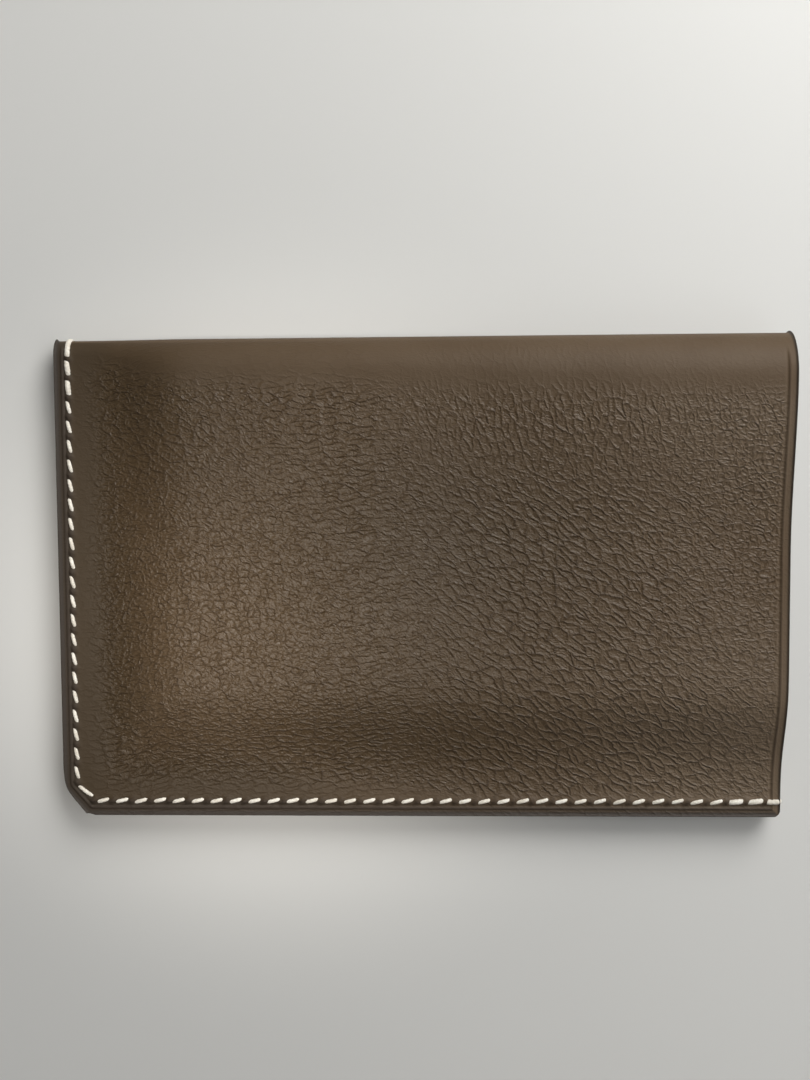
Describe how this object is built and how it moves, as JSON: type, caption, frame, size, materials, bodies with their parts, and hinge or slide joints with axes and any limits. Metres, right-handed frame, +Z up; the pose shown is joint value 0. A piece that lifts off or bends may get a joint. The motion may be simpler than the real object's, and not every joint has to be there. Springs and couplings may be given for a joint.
{
  "type": "business card case",
  "caption": "Slim stitched leather sleeve for business cards, folded along one long side, sewn along two sides with a cut corner, open at the other short side.",
  "frame": {"origin": "centre of the case's box, on the surface that it lies on", "axes": "+X towards the open mouth, +Y towards the fold, +Z up through the front leaf"},
  "size_m": [0.1056, 0.0704, 0.0109],
  "materials": {
    "outer_leather": "pebbled calf leather, satin, taupe brown",
    "stiffener": "bonded fibre sheet, hidden between the leathers",
    "lining_leather": "smooth thin calf leather, matt",
    "waxed_thread": "waxed linen thread, ivory",
    "edge_paint": "rounded edge paint, satin, dark brown"
  },
  "bodies": {
    "root": {"outer_leather": "outer_leather", "stiffener_sheet": "stiffener", "lining_leather": "lining_leather", "first_needle_thread": "waxed_thread", "second_needle_thread": "waxed_thread", "fold_end_loop": "waxed_thread", "mouth_end_loop": "waxed_thread", "sewn_edge_coat": "edge_paint", "mouth_edge_coat": "edge_paint"}
  },
  "joints": []
}
